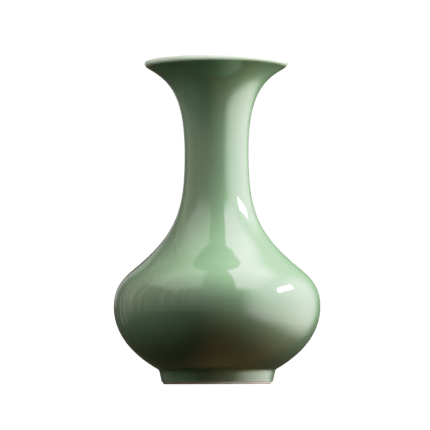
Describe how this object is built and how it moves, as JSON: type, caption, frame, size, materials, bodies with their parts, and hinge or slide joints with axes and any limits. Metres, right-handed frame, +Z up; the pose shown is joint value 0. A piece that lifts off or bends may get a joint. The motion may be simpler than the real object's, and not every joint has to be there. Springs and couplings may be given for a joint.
{
  "type": "porcelain bottle vase",
  "caption": "Celadon-glazed porcelain vase with a trumpet mouth, waisted neck, squat round belly and low foot ring, for cut flowers or display.",
  "frame": {"origin": "on the vase's upright axis, in the plane of the footrim that it stands on", "axes": "+Z up along the axis of turning, from the footrim to the mouth; the vase is round, so +X and +Y are any two level directions"},
  "size_m": [0.192, 0.192, 0.3],
  "materials": {
    "porcelain_clay": "fired unglazed porcelain",
    "bare_footrim": "bare fired clay, lightly flashed pink",
    "luting_slip": "fired slip",
    "celadon_glaze": "glossy bean-green celadon glaze",
    "lip_glaze": "thin pale celadon glaze",
    "inner_glaze": "glossy thin celadon glaze",
    "base_glaze": "glossy thin celadon glaze"
  },
  "bodies": {
    "root": {"neck_section": "porcelain_clay", "shoulder_section": "porcelain_clay", "belly_section": "porcelain_clay", "foot_ring": "bare_footrim", "neck_lute": "luting_slip", "belly_lute": "luting_slip", "foot_lute": "luting_slip", "outer_glaze": "celadon_glaze", "lip_glaze": "lip_glaze", "inner_glaze": "inner_glaze", "base_glaze": "base_glaze"}
  },
  "joints": []
}
